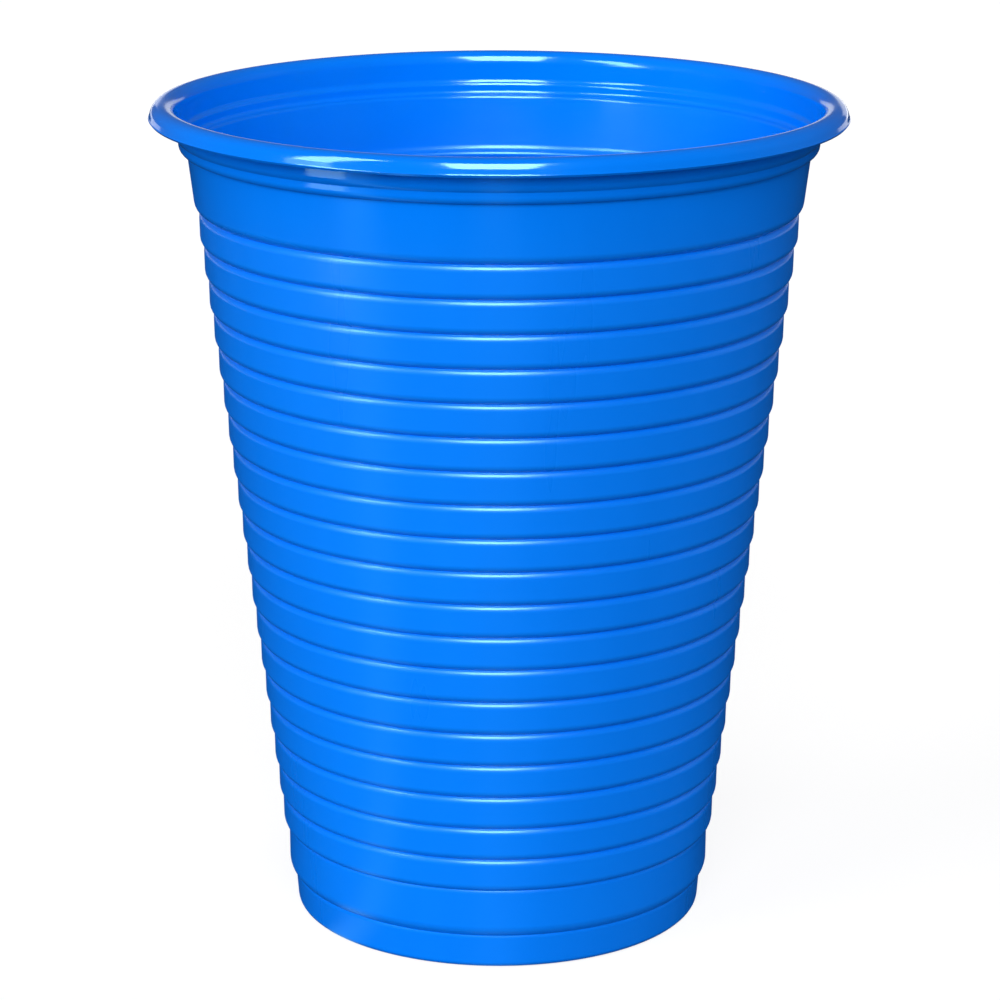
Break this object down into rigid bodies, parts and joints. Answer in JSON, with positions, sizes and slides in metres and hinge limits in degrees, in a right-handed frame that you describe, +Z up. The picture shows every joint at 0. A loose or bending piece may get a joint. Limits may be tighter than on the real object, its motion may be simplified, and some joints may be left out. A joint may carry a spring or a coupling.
{
  "type": "disposable cup",
  "caption": "Tapered disposable drinking cup with ribbed side wall, a plain band under the lip, a rolled lip and a stepped foot.",
  "frame": {"origin": "centre of the foot ring's flat underside, on the table", "axes": "+Z up along the cup's axis, out of the mouth; the cup is the same all round, so +X and +Y are any two level directions"},
  "size_m": [0.0704, 0.0704, 0.0851],
  "materials": {
    "cup": "glossy blue"
  },
  "bodies": {
    "root": {"cup": "cup"}
  },
  "joints": []
}
